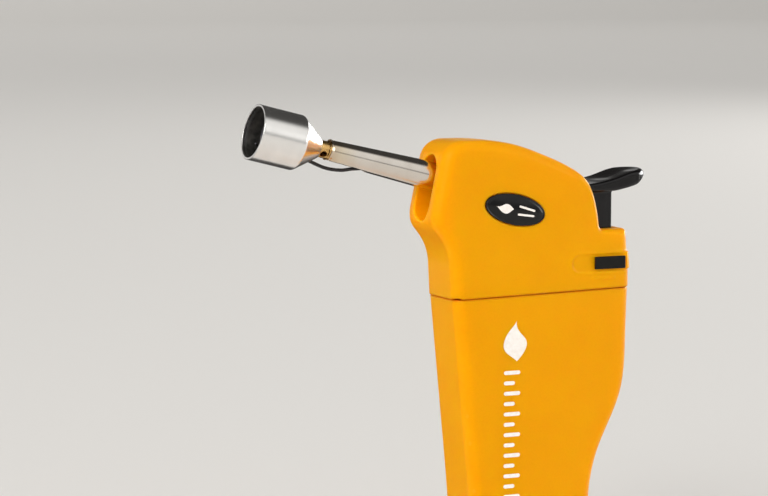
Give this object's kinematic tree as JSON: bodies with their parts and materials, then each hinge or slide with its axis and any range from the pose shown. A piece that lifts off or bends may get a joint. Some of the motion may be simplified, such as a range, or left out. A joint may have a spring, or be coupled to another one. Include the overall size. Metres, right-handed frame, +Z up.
{
  "type": "butane torch",
  "caption": "Pocket butane torch with a tilting burner, thumb trigger with piezo igniter, gas flow slider and refillable tank.",
  "frame": {"origin": "centre of the flat base face the torch stands on", "axes": "+Z up, burner tube towards -X, thumb trigger at +X, flow slider and badge on the -Y side"},
  "size_m": [0.0996, 0.0167, 0.1178],
  "materials": {
    "yellow_plastic": "satin moulded, orange yellow",
    "badge_gloss": "domed gloss black",
    "black_gloss": "gloss black",
    "black_satin": "satin black",
    "natural_nylon": "natural nylon",
    "grey_acetal": "moulded grey",
    "chrome_tube": "polished plated tube",
    "turned_aluminium": "satin turned",
    "brass": "turned brass",
    "steel": "zinc plated",
    "spring_steel": "bright spring wire",
    "heat_steel": "heat darkened",
    "ceramic": "unglazed white",
    "seal_rubber": "nitrile",
    "lead_insulation": "silicone covered wire",
    "hose": "translucent amber hose",
    "felt": "felt wick",
    "print_ink": "white pad printed marks"
  },
  "bodies": {
    "torch_body": {"head_cover": "yellow_plastic", "tank_shell": "yellow_plastic", "tank_lid": "natural_nylon", "badge": "badge_gloss", "mechanism_frame": "grey_acetal", "frame_screw_front": "steel", "frame_screw_rear": "steel", "pivot_pin_left": "steel", "pivot_pin_right": "steel", "pivot_washer_left": "steel", "pivot_washer_right": "steel", "lever_pin": "steel", "piezo_housing": "black_satin", "piezo_spring": "spring_steel", "piezo_hammer": "steel", "piezo_anvil": "steel", "piezo_crystal": "ceramic", "piezo_contact": "brass", "piezo_lead": "lead_insulation", "valve_body": "brass", "valve_spring": "spring_steel", "valve_o_ring": "seal_rubber", "gas_hose": "hose", "fuel_wick": "felt", "fill_valve_body": "brass", "fill_valve_seal": "seal_rubber", "fill_valve_spring": "spring_steel", "fill_valve_retainer": "brass"},
    "trigger_body": {"trigger": "black_gloss", "piezo_plunger": "grey_acetal"},
    "gas_lever_body": {"gas_lever": "steel"},
    "valve_stem_body": {"valve_stem": "brass", "valve_seal": "seal_rubber"},
    "slider_body": {"flow_slider": "black_satin"},
    "flow_gear_body": {"flow_gear": "black_satin"},
    "fill_stem_body": {"fill_valve_stem": "brass"},
    "barrel": {"barrel_pivot": "black_satin", "barrel_tube": "chrome_tube", "gas_pipe": "brass", "gas_jet": "brass", "venturi_body": "brass", "flame_guard": "turned_aluminium", "burner_nozzle": "heat_steel", "flame_holder": "heat_steel", "electrode_insulator": "ceramic", "electrode": "heat_steel", "burner_lead": "lead_insulation"}
  },
  "joints": [
    {"name": "barrel_tilt", "type": "hinge", "parent": "torch_body", "child": "barrel", "pos_m": [-0.0124, 0, 0.0979], "axis": [0, 1, 0], "range_deg": [-28, 4]},
    {"name": "trigger_press", "type": "slide", "parent": "torch_body", "child": "trigger_body", "axis": [0, 0, -1], "range_m": [0, 0.006], "deforming": ["piezo_spring"]},
    {"name": "gas_lever_turn", "type": "hinge", "parent": "torch_body", "child": "gas_lever_body", "pos_m": [0.0075, 0, 0.0855], "axis": [0, 1, 0], "range_deg": [0, 15.5]},
    {"name": "valve_lift", "type": "slide", "parent": "torch_body", "child": "valve_stem_body", "axis": [0, 0, 1], "range_m": [0, 0.0015], "deforming": ["valve_spring"]},
    {"name": "flow_slide", "type": "slide", "parent": "torch_body", "child": "slider_body", "axis": [-1, 0, 0], "range_m": [0, 0.005]},
    {"name": "flow_gear_turn", "type": "hinge", "parent": "torch_body", "child": "flow_gear_body", "pos_m": [0.0025, 0, 0.0797], "axis": [0, 0, 1], "range_deg": [-69, 0]},
    {"name": "fill_valve_press", "type": "slide", "parent": "torch_body", "child": "fill_stem_body", "axis": [0, 0, 1], "range_m": [0, 0.0012], "deforming": ["fill_valve_spring"]}
  ],
  "couplings": [
    {"joint": "gas_lever_turn", "follows": "trigger_press", "rad_per_m": 44},
    {"joint": "valve_lift", "follows": "trigger_press", "ratio": 0.25},
    {"joint": "flow_gear_turn", "follows": "flow_slide", "rad_per_m": -238.1}
  ]
}
